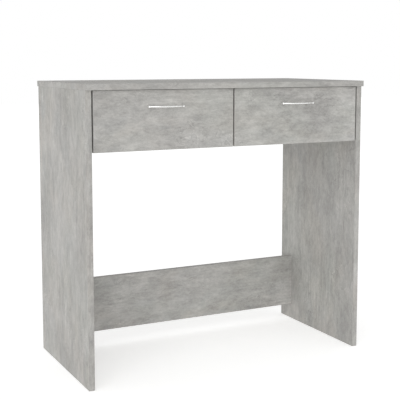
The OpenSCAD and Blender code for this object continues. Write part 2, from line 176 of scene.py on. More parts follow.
def roundedOutline(corners, steps):
    # Each corner is (x, y, radius). A corner with a radius becomes an arc of the circle that
    # touches both its sides: middle + cos a * start + sin a * normal. The circle touches them
    # radius / tan(half the angle) away, and its middle is radius / sin(half the angle) away.
    corners = np.array(corners, float)
    before, after = np.roll(corners, 1, axis=0), np.roll(corners, -1, axis=0)
    outline = []
    for last, here, following in zip(before, corners, after):
        place, radius = here[:2], here[2]
        if radius <= 0:
            outline.append(place[None])
            continue
        toLast = (last[:2] - place) / np.linalg.norm(last[:2] - place)
        toNext = (following[:2] - place) / np.linalg.norm(following[:2] - place)
        half = math.acos(np.clip(toLast @ toNext, -1, 1)) / 2
        reach = radius / math.tan(half)
        middle = place + (toLast + toNext) / np.linalg.norm(toLast + toNext) * radius / math.sin(half)
        start, end = place + toLast * reach - middle, place + toNext * reach - middle
        turn = math.atan2(start[0] * end[1] - start[1] * end[0], start @ end)
        angle = turn * np.linspace(0, 1, steps)[:, None]
        normal = np.array([-start[1], start[0]])
        outline.append(middle + np.cos(angle) * start + np.sin(angle) * normal)
    return np.concatenate(outline)


def solidsOf(node):
    # The separate solids of a CAD node: points that share a triangle take the lowest of
    # their labels until nothing changes. Returns each solid's own points.
    mesh = frame["nodes"][node].data
    places = np.zeros(len(mesh.vertices) * 3)
    mesh.vertices.foreach_get("co", places)
    places = places.reshape(-1, 3)
    mesh.calc_loop_triangles()
    triangles = np.zeros(len(mesh.loop_triangles) * 3, np.int64)
    mesh.loop_triangles.foreach_get("vertices", triangles)
    same = np.unique(np.round(places, 6), axis=0, return_inverse=True)[1].ravel()
    corners = same[triangles.reshape(-1, 3)]
    label = np.arange(same.max() + 1)
    while True:
        lowest = label[corners].min(axis=1)
        lower = label.copy()
        np.minimum.at(lower, corners.ravel(), np.repeat(lowest, 3))
        lower = lower[lower]
        if (lower == label).all():
            break
        label = lower
    found = label[same]
    return [places[found == one] for one in np.unique(found)]


def nodeBody(node):
    return frame["nodes"][node]["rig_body"]


def lyingAlong(points, shortest=False):
    # A turned solid's middle, its axis and half its length. The axis is the longest or the
    # shortest side, and points out of the end with more points (a head's recess, a cam's slot).
    low, high = points.min(axis=0), points.max(axis=0)
    size = high - low
    k = int(np.argmin(size) if shortest else np.argmax(size))
    near = 0.2 * size[k]  # an end is the last fifth of the length
    towardsHigh = (points[:, k] > high[k] - near).sum() > (points[:, k] < low[k] + near).sum()
    axis = np.zeros(3)
    axis[k] = 1.0 if towardsHigh else -1.0
    return (low + high) / 2, axis, size[k] / 2


# Materials. Shared effects are node groups, and every material keeps its own shader.

def link(tree, source, target):
    tree.links.new(source, target)


def addNode(tree, kind, **values):
    node = tree.nodes.new(kind)
    for key, value in values.items():
        setattr(node, key, value)
    return node


def newGroup(name, inputs, outputs):
    group = bpy.data.node_groups.new(name, "ShaderNodeTree")
    for inOut, sockets in (("INPUT", inputs), ("OUTPUT", outputs)):
        for label, kind, default in sockets:
            socket = group.interface.new_socket(name=label, in_out=inOut, socket_type=kind)
            if default is not None:
                socket.default_value = default
    start = addNode(group, "NodeGroupInput")
    end = addNode(group, "NodeGroupOutput")
    return group, start, end


def noise(tree, vector, scale, detail, rough, distortion=0.0, stretch=None):
    # Fractal noise of vector * stretch, so a part below 1 draws the marks out along that axis
    if stretch is not None:
        mapping = addNode(tree, "ShaderNodeMapping")
        mapping.inputs["Scale"].default_value = stretch
        link(tree, vector, mapping.inputs["Vector"])
        vector = mapping.outputs["Vector"]
    node = addNode(tree, "ShaderNodeTexNoise")
    node.inputs["Scale"].default_value = scale
    node.inputs["Detail"].default_value = detail
    node.inputs["Roughness"].default_value = rough
    node.inputs["Distortion"].default_value = distortion
    link(tree, vector, node.inputs["Vector"])
    return node.outputs["Fac"]


def remap(tree, value, low, high, outLow=0.0, outHigh=1.0):
    # low..high becomes outLow..outHigh, and values beyond stop there
    node = addNode(tree, "ShaderNodeMapRange", clamp=True)
    link(tree, value, node.inputs["Value"])
    for label, number in (("From Min", low), ("From Max", high), ("To Min", outLow), ("To Max", outHigh)):
        node.inputs[label].default_value = number
    return node.outputs["Result"]


def calc(tree, operation, a, b):
    node = addNode(tree, "ShaderNodeMath", operation=operation)
    for socket, value in zip(node.inputs, (a, b)):
        if isinstance(value, (int, float)):
            socket.default_value = value
        else:
            link(tree, value, socket)
    return node.outputs[0]


def contour(tree, value, level, halfWidth):
    # 1 where value is level, down to 0 at halfWidth from it: 1 - |value - level| / halfWidth
    off = calc(tree, "ABSOLUTE", calc(tree, "SUBTRACT", value, level), 0.0)
    return remap(tree, off, 0.0, halfWidth, 1.0, 0.0)


def blendColour(tree, amount, a, b, mode="MIX"):
    node = addNode(tree, "ShaderNodeMix", data_type="RGBA", blend_type=mode)
    for socket, value in ((node.inputs[0], amount), (node.inputs[6], a), (node.inputs[7], b)):
        if isinstance(value, (int, float)):
            socket.default_value = value
        elif isinstance(value, tuple):
            socket.default_value = (*value, 1.0)
        else:
            link(tree, value, socket)
    return node.outputs[2]


def shaderTree(name, turn=(0.0, 0.0, 0.0), shift=(0.0, 0.0, 0.0)):
    # A material with its Principled shader and a pattern place read from Object coordinates
    material = bpy.data.materials.new(name)
    material.use_nodes = True
    tree = material.node_tree
    shader = tree.nodes["Principled BSDF"]
    places = addNode(tree, "ShaderNodeTexCoord")
    mapping = addNode(tree, "ShaderNodeMapping")
    mapping.inputs["Rotation"].default_value = turn
    mapping.inputs["Location"].default_value = shift
    link(tree, places.outputs["Object"], mapping.inputs["Vector"])
    return material, tree, shader, mapping.outputs["Vector"]


def addBump(tree, shader, height, strength, distance):
    bump = addNode(tree, "ShaderNodeBump")
    bump.inputs["Strength"].default_value = strength
    bump.inputs["Distance"].default_value = distance
    link(tree, height, bump.inputs["Height"])
    link(tree, bump.outputs["Normal"], shader.inputs["Normal"])


concrete = {
    "faceColour": (0.388, 0.380, 0.364, 1.0),
    "bandColour": (0.380, 0.372, 0.356, 1.0),
    "contrast": 1.2, "specular": 0.35, "roughness": 0.55, "roughnessSwing": 0.04,
    "gritHeight": 0.3, "flakeHeight": 0.4, "bumpStrength": 0.5, "bumpDepth": 0.06 * mm,
    # How much each layer raises or lowers the tone
    "shares": {
        "clouds": 0.105, "patches": 0.075, "blotches": 0.055, "flecks": 0.05, "flakes": 0.06,
        "wrinkles": 0.15, "streaks": 0.075, "trowel": 0.07, "grit": 0.05, "pores": -0.16,
    },
    # Casts that drift over the print: marks in a metre, and what they multiply the colour by
    "casts": {
        "greenish": (5.0, (0.985, 1.0, 0.985)),
        "warm": (11.0, (1.0, 0.982, 0.965)),
        "cool": (16.0, (0.982, 0.99, 1.0)),
    },
    "castFrom": 0.48, "castFull": 0.68,
}

# The noise of each layer. scale is marks in a metre, twist bends them, and low..high are the
# noise's values from one end of the layer to the other.
layers = {
    "clouds": dict(scale=7, detail=3, rough=0.5, twist=0.6, stretch=(0.6, 1, 1), low=0.3, high=0.7),
    "patches": dict(scale=20, detail=6, rough=0.62, twist=0.7, stretch=(0.5, 1, 1), low=0.36, high=0.64),
    "blotches": dict(scale=62, detail=5, rough=0.62, twist=0.5, stretch=(0.42, 1, 1), low=0.42, high=0.58),
    "paleFlecks": dict(scale=150, detail=4, rough=0.6, twist=0.3, stretch=(0.3, 1, 1), low=0.56, high=0.61),
    "flakes": dict(scale=240, detail=6, rough=0.7, twist=0.3, stretch=(0.45, 1, 1), low=0.4, high=0.6),
    "grit": dict(scale=1100, detail=3, rough=0.6, twist=0.0, stretch=(0.6, 1, 1), low=0.38, high=0.62),
    "streaks": dict(scale=1, detail=4, rough=0.65, twist=0.0, stretch=(8, 170, 170), low=0.38, high=0.62),
    "pores": dict(scale=520, detail=2, rough=0.5, twist=0.4, stretch=(0.6, 1, 1), low=0.66, high=0.71),
    # Where streaks and trowel lines show, and where wrinkles do
    "swathes": dict(scale=6, detail=2, rough=0.5, twist=0.0, stretch=(0.6, 1, 1), low=0.46, high=0.58),
    "clusters": dict(scale=9, detail=3, rough=0.55, twist=0.3, stretch=(0.7, 1, 1), low=0.5, high=0.6),
    # Lines along the places where the noise has one value
    "trowel": dict(scale=13, detail=4, rough=0.5, twist=1.2, stretch=(0.5, 1, 1), halfWidth=0.016, at=0.5),
    "wrinkles": dict(scale=26, detail=3, rough=0.55, twist=1.8, stretch=(0.55, 1, 1), halfWidth=0.024,
                     darkAt=0.5, paleAt=0.535),
}
darkFlecks = {"low": 0.44, "high": 0.39}
leastSwathe = 0.05


def layerNoise(tree, vector, name):
    layer = layers[name]
    return noise(tree, vector, layer["scale"], layer["detail"], layer["rough"], layer["twist"],
                 layer["stretch"])


def spreadLayer(tree, vector, name, outLow=-1.0):
    # The layer's noise, with its low..high spread over outLow..1
    return remap(tree, layerNoise(tree, vector, name), layers[name]["low"], layers[name]["high"], outLow)


def concreteGroup():
    # Printed concrete: tone = base * (1 + contrast * sum of share * layer), then the casts.
    # Its layers are broad clouds, patches, blotches, crisp flecks, flakes, wrinkles, streaks
    # along X that come and go, pale trowel lines, grit and pores. They are squeezed along X,
    # so the marks lie with the grain.
    group, start, end = newGroup("printedConcrete", [
        ("Vector", "NodeSocketVector", None),
        ("Base", "NodeSocketColor", concrete["faceColour"]),
        ("Contrast", "NodeSocketFloat", 1.0),
        ("Streaks", "NodeSocketFloat", 1.0),
    ], [
        ("Color", "NodeSocketColor", None),
        ("Roughness", "NodeSocketFloat", None),
        ("Height", "NodeSocketFloat", None),
    ])
    vector, contrast = start.outputs["Vector"], start.outputs["Contrast"]
    shown = {name: spreadLayer(group, vector, name)
             for name in ("clouds", "patches", "blotches", "flakes", "grit", "streaks")}
    flecks, pale = layerNoise(group, vector, "paleFlecks"), layers["paleFlecks"]
    shown["flecks"] = calc(group, "SUBTRACT", remap(group, flecks, pale["low"], pale["high"]),
                           remap(group, flecks, darkFlecks["low"], darkFlecks["high"]))
    shown["pores"] = spreadLayer(group, vector, "pores", 0.0)
    swathes = spreadLayer(group, vector, "swathes", leastSwathe)
    streaks = calc(group, "MULTIPLY", shown["streaks"], swathes)
    shown["streaks"] = calc(group, "MULTIPLY", streaks, start.outputs["Streaks"])
    trowel = contour(group, layerNoise(group, vector, "trowel"), layers["trowel"]["at"],
                     layers["trowel"]["halfWidth"])
    shown["trowel"] = calc(group, "MULTIPLY", trowel, swathes)
    # Wrinkles are a dark line with a pale one beside it, in clusters
    creases, crease = layerNoise(group, vector, "wrinkles"), layers["wrinkles"]
    darkLine = contour(group, creases, crease["darkAt"], crease["halfWidth"])
    paleLine = contour(group, creases, crease["paleAt"], crease["halfWidth"])
    shown["wrinkles"] = calc(group, "MULTIPLY", calc(group, "SUBTRACT", paleLine, darkLine),
                             spreadLayer(group, vector, "clusters", 0.0))
    shade = None
    for name, share in concrete["shares"].items():
        part = calc(group, "MULTIPLY", shown[name], share)
        shade = part if shade is None else calc(group, "ADD", shade, part)
    level = calc(group, "ADD", 1.0, calc(group, "MULTIPLY", shade, contrast))
    grey = addNode(group, "ShaderNodeCombineColor")
    for socket in grey.inputs:
        link(group, level, socket)
    toned = blendColour(group, 1.0, start.outputs["Base"], grey.outputs["Color"], "MULTIPLY")
    for scale, cast in concrete["casts"].values():
        # Each cast reads the noise at a place of its own
        place = addNode(group, "ShaderNodeMapping")
        place.inputs["Location"].default_value = (scale, 0.3 * scale, 0.7 * scale)
        link(group, vector, place.inputs["Vector"])
        drift = noise(group, place.outputs["Vector"], scale, 3, 0.5, 0.6, (0.6, 1, 1))
        amount = remap(group, drift, concrete["castFrom"], concrete["castFull"])
        toned = blendColour(group, amount, toned, blendColour(group, 1.0, toned, cast, "MULTIPLY"))
    link(group, toned, end.inputs["Color"])
    # Roughness = middle + swing * (patches + flakes)
    swing = calc(group, "MULTIPLY", calc(group, "ADD", shown["patches"], shown["flakes"]),
                 concrete["roughnessSwing"])
    link(group, calc(group, "ADD", concrete["roughness"], swing), end.inputs["Roughness"])
    # Height = share * grit + share * flakes - pores
    height = calc(group, "ADD", calc(group, "MULTIPLY", shown["grit"], concrete["gritHeight"]),
                  calc(group, "MULTIPLY", shown["flakes"], concrete["flakeHeight"]))
    link(group, calc(group, "SUBTRACT", height, shown["pores"]), end.inputs["Height"])
    return group


def speckGroup():
    # Fine even texture of a coating or a moulding: soft dimples, and a slow change of tone.
    # Tone = 0.7 * slow + 0.3 * dimples.
    group, start, end = newGroup("coatTexture", [
        ("Vector", "NodeSocketVector", None),
        ("Scale", "NodeSocketFloat", 800.0),
    ], [
        ("Tone", "NodeSocketFloat", None),
        ("Height", "NodeSocketFloat", None),
    ])
    dimples = addNode(group, "ShaderNodeTexNoise")
    dimples.inputs["Detail"].default_value = 2.0
    link(group, start.outputs["Vector"], dimples.inputs["Vector"])
    link(group, start.outputs["Scale"], dimples.inputs["Scale"])
    slow = noise(group, start.outputs["Vector"], 30, 3, 0.5)
    link(group, calc(group, "ADD", calc(group, "MULTIPLY", slow, 0.7),
                     calc(group, "MULTIPLY", dimples.outputs["Fac"], 0.3)), end.inputs["Tone"])
    link(group, dimples.outputs["Fac"], end.inputs["Height"])
    return group


def scratchGroup():
    # Handling marks on metal: long hairlines crossing at two angles, and soft smudges
    group, start, end = newGroup("hairlines", [
        ("Vector", "NodeSocketVector", None),
        ("Scale", "NodeSocketFloat", 300.0),
    ], [
        ("Marks", "NodeSocketFloat", None),
        ("Smudge", "NodeSocketFloat", None),
    ])
    lines = []
    for turn in (0.35, -0.9):  # radians
        mapping = addNode(group, "ShaderNodeMapping")
        mapping.inputs["Rotation"].default_value = (turn, turn * 0.6, turn)
        mapping.inputs["Scale"].default_value = (0.12, 1.0, 1.0)
        link(group, start.outputs["Vector"], mapping.inputs["Vector"])
        hair = addNode(group, "ShaderNodeTexNoise")
        hair.inputs["Detail"].default_value = 3.0
        link(group, mapping.outputs["Vector"], hair.inputs["Vector"])
        link(group, start.outputs["Scale"], hair.inputs["Scale"])
        lines.append(remap(group, hair.outputs["Fac"], 0.6, 0.72))
    link(group, calc(group, "MAXIMUM", lines[0], lines[1]), end.inputs["Marks"])
    link(group, noise(group, start.outputs["Vector"], 90, 3, 0.5, 0.3), end.inputs["Smudge"])
    return group


groups = {"concrete": concreteGroup(), "coat": speckGroup(), "hairlines": scratchGroup()}


def useGroup(tree, name, vector, **values):
    node = addNode(tree, "ShaderNodeGroup", node_tree=groups[name])
    link(tree, vector, node.inputs["Vector"])
    for key, value in values.items():
        node.inputs[key].default_value = value
    return node


# Grain runs along X. The turn brings another direction of the desk onto X.
grainAlongX = (0.0, 0.0, 0.0)
grainAlongZ = (0.0, math.radians(90), 0.0)


def concreteMaterial(name, turn, shift, streaks, colour="faceColour", contrast=concrete["contrast"]):
    material, tree, shader, place = shaderTree(name, turn, shift)
    decor = useGroup(tree, "concrete", place, Base=concrete[colour], Contrast=contrast, Streaks=streaks)
    link(tree, decor.outputs["Color"], shader.inputs["Base Color"])
    link(tree, decor.outputs["Roughness"], shader.inputs["Roughness"])
    shader.inputs["Specular IOR Level"].default_value = concrete["specular"]
    addBump(tree, shader, decor.outputs["Height"], concrete["bumpStrength"], concrete["bumpDepth"])
    return material


foil = {"darker": 0.93, "roughnessSwing": 0.05, "bumpStrength": 0.4, "bumpDepth": 0.05 * mm}


def foilMaterial(name, colour, scale, rough):
    # Plain foil, lacquer, powder coat or moulding. Roughness = rough +- swing with the tone.
    material, tree, shader, place = shaderTree(name)
    coat = useGroup(tree, "coat", place, Scale=scale)
    darker = tuple(c * foil["darker"] for c in colour)
    swing = foil["roughnessSwing"]
    link(tree, blendColour(tree, coat.outputs["Tone"], darker, colour), shader.inputs["Base Color"])
    link(tree, remap(tree, coat.outputs["Tone"], 0.3, 0.7, rough - swing, rough + swing),
         shader.inputs["Roughness"])
    addBump(tree, shader, coat.outputs["Height"], foil["bumpStrength"], foil["bumpDepth"])
    return material


metal = {
    "dulling": 0.25, "wear": 0.08, "cleanest": 0.8, "haziest": 1.35,
    "bumpStrength": 0.15, "bumpDepth": 0.02 * mm,
}


def metalMaterial(name, colour, rough, scale, smudge):
    # Colour falls by dulling * smudge under smudges. Roughness = rough * cleanest..haziest,
    # and wear more on a hairline.
    material, tree, shader, place = shaderTree(name)
    marks = useGroup(tree, "hairlines", place, Scale=scale)
    dulled = tuple(c * (1 - metal["dulling"] * smudge) for c in colour)
    link(tree, blendColour(tree, remap(tree, marks.outputs["Smudge"], 0.42, 0.68), colour, dulled),
         shader.inputs["Base Color"])
    worn = calc(tree, "MULTIPLY", marks.outputs["Marks"], metal["wear"])
    hazy = remap(tree, marks.outputs["Smudge"], 0.35, 0.7,
                 rough * metal["cleanest"], rough * metal["haziest"])
    link(tree, calc(tree, "ADD", hazy, worn), shader.inputs["Roughness"])
    shader.inputs["Metallic"].default_value = 1.0
    addBump(tree, shader, marks.outputs["Marks"], metal["bumpStrength"], metal["bumpDepth"])
    return material


beech = {
    "dark": (0.42, 0.27, 0.14), "pale": (0.68, 0.5, 0.3), "grain": (600, 600, 600),
    "flecks": (900, 900, 200), "roughness": 0.7, "bumpStrength": 0.3, "bumpDepth": 0.05 * mm,
}


def beechMaterial(name):
    # Tone = 0.6 * grain + 0.4 * flecks, from dark to pale
    material, tree, shader, place = shaderTree(name)
    grain = noise(tree, place, 1, 4, 0.6, 0.3, beech["grain"])
    flecks = noise(tree, place, 1, 2, 0.5, 0.0, beech["flecks"])
    tone = calc(tree, "ADD", calc(tree, "MULTIPLY", grain, 0.6), calc(tree, "MULTIPLY", flecks, 0.4))
    link(tree, blendColour(tree, tone, beech["dark"], beech["pale"]), shader.inputs["Base Color"])
    shader.inputs["Roughness"].default_value = beech["roughness"]
    addBump(tree, shader, grain, beech["bumpStrength"], beech["bumpDepth"])
    return material


materials = {
    "top": concreteMaterial("topConcrete", grainAlongX, (0.13, 0.4, 0.0), streaks=0.8),
    "panel": concreteMaterial("panelConcrete", grainAlongZ, (0.2, 0.0, 0.31), streaks=1.1),
    "rail": concreteMaterial("railConcrete", grainAlongX, (0.7, 0.0, 0.2), streaks=0.8),
    "front": concreteMaterial("frontConcrete", grainAlongX, (0.62, 0.1, 0.93), streaks=0.6),
    "bandX": concreteMaterial("bandAlongX", grainAlongX, (0.5, 0.1, 0.9), streaks=0.8,
                              colour="bandColour", contrast=1.0),
    "bandZ": concreteMaterial("bandAlongZ", grainAlongZ, (0.1, 0.6, 0.4), streaks=1.2,
                              colour="bandColour", contrast=1.0),
    "box": foilMaterial("drawerFoil", (0.6, 0.6, 0.585), scale=900.0, rough=0.5),
    "bottom": foilMaterial("bottomLacquer", (0.56, 0.56, 0.545), scale=500.0, rough=0.42),
    "powder": foilMaterial("powderCoat", (0.76, 0.76, 0.74), scale=1600.0, rough=0.36),
    "nylon": foilMaterial("nylon", (0.66, 0.65, 0.61), scale=2600.0, rough=0.45),
    "chrome": metalMaterial("polishedChrome", (0.95, 0.95, 0.94), rough=0.24, scale=500.0, smudge=0.25),
    "zinc": metalMaterial("zincPlate", (0.62, 0.63, 0.65), rough=0.32, scale=900.0, smudge=0.6),
    "beech": beechMaterial("beech"),
}
print("materials:", len(materials))


# Carried-over CAD nodes: their shape is right, so they only take their finish

def finishNode(node, finish):
    for materialSlot in frame["nodes"][node].material_slots:
        materialSlot.material = materials[finish]


boardFinish = {
    "top_board": "top",
    "left_side_panel": "panel",
    "right_side_panel": "panel",
    "centre_divider": "rail",
    "upper_back_panel": "rail",
    "stretcher_panel": "rail",
    "left_drawer_front": "front",
    "right_drawer_front": "front",
}
for drawer in sides:
    boardFinish[drawer + "_drawer_bottom"] = "bottom"
    boardFinish[drawer + "_drawer_back"] = "box"
    for side in sides:
        boardFinish[f"{drawer}_drawer_{side}_side"] = "box"

for node, finish in boardFinish.items():
    finishNode(node, finish)
print("boards:", len(boardFinish))


# Edge bands: strips with two rounded outer edges

band = {
    "roundness": 0.5 * mm, "cornerSteps": 5, "endSteps": 6, "rows": 9,
    "seam": 0.05 * mm, "overhang": 0.5 * mm,
}


def bandStrip(low, high, outAxis, outSide, longAxis, roundLow, roundHigh):
    # A rectangle with its two outer corners rounded is carried along the strip. At a rounded
    # end the outer face follows a quarter circle: along = end - r + r sin t,
    # outer face = full - r + r cos t.
    wideAxis = 3 - outAxis - longAxis
    r = band["roundness"]
    thick = high[outAxis] - low[outAxis]
    wide = high[wideAxis] - low[wideAxis]
    outline = roundedOutline([(0, 0, 0), (wide, 0, 0), (wide, thick, r), (0, thick, r)],
                             band["cornerSteps"])
    t = np.linspace(0, np.pi / 2, band["endSteps"])
    along, outer = [], []
    if roundLow:
        along.append((low[longAxis] + r - r * np.sin(t))[::-1])
        outer.append((thick - r + r * np.cos(t))[::-1])
    else:
        along.append([low[longAxis]])
        outer.append([thick])
    middle = np.linspace(low[longAxis] + r, high[longAxis] - r, band["rows"])[1:-1]
    along.append(middle)
    outer.append(np.full(len(middle), thick))
    if roundHigh:
        along.append(high[longAxis] - r + r * np.sin(t))
        outer.append(thick - r + r * np.cos(t))
    else:
        along.append([high[longAxis]])
        outer.append([thick])
    along, outer = np.concatenate(along), np.concatenate(outer)
    points = np.zeros((len(along), len(outline), 3))
    points[..., longAxis] = along[:, None]
    points[..., wideAxis] = low[wideAxis] + outline[None, :, 0]
    fall = np.minimum(outline[None, :, 1], outline[None, :, 1] * outer[:, None] / thick)
    base = low[outAxis] if outSide > 0 else high[outAxis]
    points[..., outAxis] = base + outSide * fall
    return gridShell(points)


def stripsOf(node):
    # Each strip of a bands node is one solid. Returns its lowest and highest corner.
    return [(solid.min(axis=0), solid.max(axis=0)) for solid in solidsOf(node)]


boardOfBand = {
    "top_edge_bands": ["top_board"],
    "left_side_edge_bands": ["left_side_panel"],
    "right_side_edge_bands": ["right_side_panel"],
    "stretcher_edge_bands": ["stretcher_panel"],
    "inner_edge_bands": ["upper_back_panel", "centre_divider"],
    "left_drawer_front_bands": ["left_drawer_front"],
    "right_drawer_front_bands": ["right_drawer_front"],
}


def nearestBoard(middle, boards):
    # The box of the board closest to a strip's middle: gap = |max(0, low - middle, middle - high)|
    best = None
    for name in boards:
        low, high = (np.array(c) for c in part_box(name))
        gap = np.linalg.norm(np.maximum(0, np.maximum(low - middle, middle - high)))
        if best is None or gap < best[0]:
            best = (gap, low, high)
    return best[1], best[2]


for node, boards in boardOfBand.items():
    shellsX, shellsZ = [], []
    for low, high in stripsOf(node):
        # The thinnest side is the way a strip faces, away from the middle of its board
        middle = (low + high) / 2
        boardLow, boardHigh = nearestBoard(middle, boards)
        outAxis = int(np.argmin(high - low))
        longAxis = int(np.argmax(high - low))
        outSide = 1 if middle[outAxis] > (boardLow[outAxis] + boardHigh[outAxis]) / 2 else -1
        full = high[longAxis] - low[longAxis] > boardHigh[longAxis] - boardLow[longAxis] + band["seam"]
        roundEnds = [full and low[longAxis] < boardLow[longAxis] - band["overhang"],
                     full and high[longAxis] > boardHigh[longAxis] + band["overhang"]]
        strip = bandStrip(low, high, outAxis, outSide, longAxis, *roundEnds)
        (shellsZ if longAxis == 2 else shellsX).append(strip)
    body, pieceName = nodeBody(node), node.replace("_bands", "_band")
    if shellsX:
        makePiece(pieceName + "_long", shellsX, materials["bandX"], body, [node])
    if shellsZ:
        makePiece(pieceName + "_upright", shellsZ, materials["bandZ"], body,
                  [] if shellsX else [node])
print("edge bands:", len(boardOfBand))


# Handles: one bow whose ends sink into two domed feet

handle = {
    "bar": 4 * mm, "neck": 5 * mm, "steps": 72, "around": 28, "sharp": 50,
    "footRadius": 3.6 * mm, "footAround": 36, "domeSteps": 10, "domeTip": 0.05 * mm,
    # The foot up to its dome: distance from the front, and share of the foot's radius
    "footProfile": [(0, 0.93), (0.25 * mm, 1.0), (1.1 * mm, 1.0), (1.5 * mm, 0.9),
                    (2.4 * mm, 0.86), (3.6 * mm, 0.93)],
}


def handleShells(node):
    low, high = (np.array(c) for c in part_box(node))
    middleX, baseY, middleZ = (low[0] + high[0]) / 2, high[1], (low[2] + high[2]) / 2
    reach = high[1] - low[1]
    half, r = (high[0] - low[0]) / 2 - handle["footRadius"], handle["bar"] / 2
    rise = reach - r - handle["neck"]
    bowRadius = (half ** 2 + rise ** 2) / (2 * rise)
    bowAngle = math.asin(half / bowRadius)
    # The bar's middle line is one arc: x = R sin a, out = neck + rise - R + R cos a
    a = np.linspace(-bowAngle, bowAngle, handle["steps"])
    path = np.stack([middleX + bowRadius * np.sin(a),
                     baseY - (handle["neck"] + rise - bowRadius + bowRadius * np.cos(a)),
                     np.full_like(a, middleZ)], axis=-1)
    radial = np.stack([np.sin(a), -np.cos(a), np.zeros_like(a)], axis=-1)
    upwards = np.tile([0.0, 0.0, 1.0], (len(a), 1))
    turn = circleTurns(handle["around"])
    section = r * np.stack([np.cos(turn), np.sin(turn)], axis=-1)
    shells = [sweep(path, section, radial, upwards)]
    # A foot is turned: a small base ring, a waist and a dome, neck + foot sin t along its axis
    foot, neck = handle["footRadius"], handle["neck"]
    t = np.linspace(0, np.pi / 2, handle["domeSteps"])
    profile = [(along, foot * share) for along, share in handle["footProfile"]]
    profile += [(neck + foot * math.sin(k), foot * math.cos(k)) for k in t[:-1]]
    profile += [(neck + foot, handle["domeTip"])]
    for side in sides.values():
        shells.append(lathe(profile, (middleX + side * half, baseY, middleZ), (0, -1, 0),
                            handle["footAround"]))
    return shells


for drawer in sides:
    makePiece(drawer + "_bow_handle", handleShells(drawer + "_handle"), materials["chrome"],
              drawer + "_drawer", [drawer + "_handle"], sharp=handle["sharp"])
print("handles:", len(sides))


# Screws and cams: a turned body with a cross recess in its face

recess = {"arm": 0.3, "width": 0.07, "slope": 0.035, "middle": 0.02, "rings": 16, "around": 64}


def crossedFace(radius, depth, centre, axis, dome, rings, count):
    # The face is a polar grid: height = dome * (1 - (r/R)^2) - depth * cross, where cross
    # falls from 1 to 0 over a short slope round two crossing slots.
    r = np.linspace(recess["middle"], 1, rings) * radius
    turn = circleTurns(count)
    x, y = r[:, None] * np.cos(turn), r[:, None] * np.sin(turn)
    arm, width, slope = (recess[k] * 2 * radius for k in ("arm", "width", "slope"))
    inSlot = [np.clip((width - np.abs(a)) / slope + 1, 0, 1) * np.clip((arm - np.abs(b)) / slope + 1, 0, 1)
              for a, b in ((x, y), (y, x))]
    cross = np.maximum(*inSlot)
    height = dome * (1 - (r[:, None] / radius) ** 2) - depth * cross
    axis, side, other = basis(axis)
    return (np.array(centre) + height[..., None] * axis + x[..., None] * side + y[..., None] * other)


def turned(face, profile, centre, axis):
    # Rows of the face, then rings of the body given as (distance, radius) down the axis.
    # A ring starts at the same turn as the face, so the rows join.
    along, radius = np.array(profile, float).T
    body = turnedRings(along, radius[:, None], centre, axis, face.shape[1])
    return gridShell(np.concatenate([face, body]))


thread = {"leastRows": 8, "rowsInTurn": 6, "around": 20, "steepness": 4, "taper": 1.6, "tip": 0.15}


def threaded(length, core, crest, pitch, centre, axis, start):
    # Helical ridge: radius = core + (crest - core) * ridge(along / pitch - turn / 2 pi),
    # with ridge a narrow peak once in each pitch, fading out at the tip.
    rows = max(thread["leastRows"], int(length / pitch * thread["rowsInTurn"]))
    along = np.linspace(0, length, rows)
    phase = (along[:, None] / pitch - circleTurns(thread["around"])[None] / (2 * np.pi)) % 1
    ridge = np.clip(1 - np.abs(phase - 0.5) * thread["steepness"], 0, 1)
    taper = np.clip((length - along) / (thread["taper"] * crest), thread["tip"], 1)[:, None]
    radius = (core + (crest - core) * ridge) * taper
    return gridShell(turnedRings(start - along, radius, centre, axis, thread["around"]))


# Head radius and height, shank radius, rise of the domed face and pitch of the thread, in
# millimetres, all within the CAD solid
screwKinds = {
    "handle_screws": {"head": 4.0, "deep": 2.4, "shank": 2.0, "dome": 0.7, "pitch": 0.9},
    "runner_screws": {"head": 3.3, "deep": 1.2, "shank": 1.75, "dome": 0.35, "pitch": 1.4},
    "box_screws": {"head": 4.0, "deep": 1.8, "shank": 2.5, "dome": 0.0, "pitch": 2.6},
}
screw = {
    # Shares of the head's radius and height. A bevel is (share of the height, of the radius).
    "face": 0.86, "slotDepth": 0.55,
    "rimBevel": [(0.12, 0.95), (0.3, 1.0)], "underBevel": [(0.1, 1.0), (0.0, 0.97)],
    # Shares of the shank's radius, and how far under the head the neck ends and thread starts
    "neck": 0.9, "core": 0.76, "neckLength": 0.6 * mm, "threadFrom": 0.4 * mm,
}


def screwShells(node, kind):
    shells = []
    for solid in solidsOf(node):
        middle, axis, half = lyingAlong(solid)
        head, deep, shank, dome, pitch = (kind[k] * mm for k in ("head", "deep", "shank", "dome", "pitch"))
        rim, under = half - dome, half - deep
        face = crossedFace(head * screw["face"], deep * screw["slotDepth"], middle + axis * rim, axis,
                           dome, recess["rings"], recess["around"])
        profile = [(rim - down * deep, head * share) for down, share in screw["rimBevel"]]
        profile += [(under + up * deep, head * share) for up, share in screw["underBevel"]]
        profile += [(under - down, shank * screw["neck"]) for down in (0.0, screw["neckLength"])]
        shells.append(turned(face, profile, middle, axis))
        shells.append(threaded(2 * half - deep - screw["threadFrom"], shank * screw["core"], shank, pitch,
                               middle, axis, under - screw["threadFrom"]))
    return shells


cam = {
    "face": 0.95, "slotDepth": 1.2 * mm, "rings": 22, "around": 72,
    # Bevels are (distance from the end, share of the radius)
    "topBevel": [(0.1 * mm, 0.985), (0.35 * mm, 1.0)], "bottomBevel": [(0.2 * mm, 1.0), (0.0, 0.97)],
}


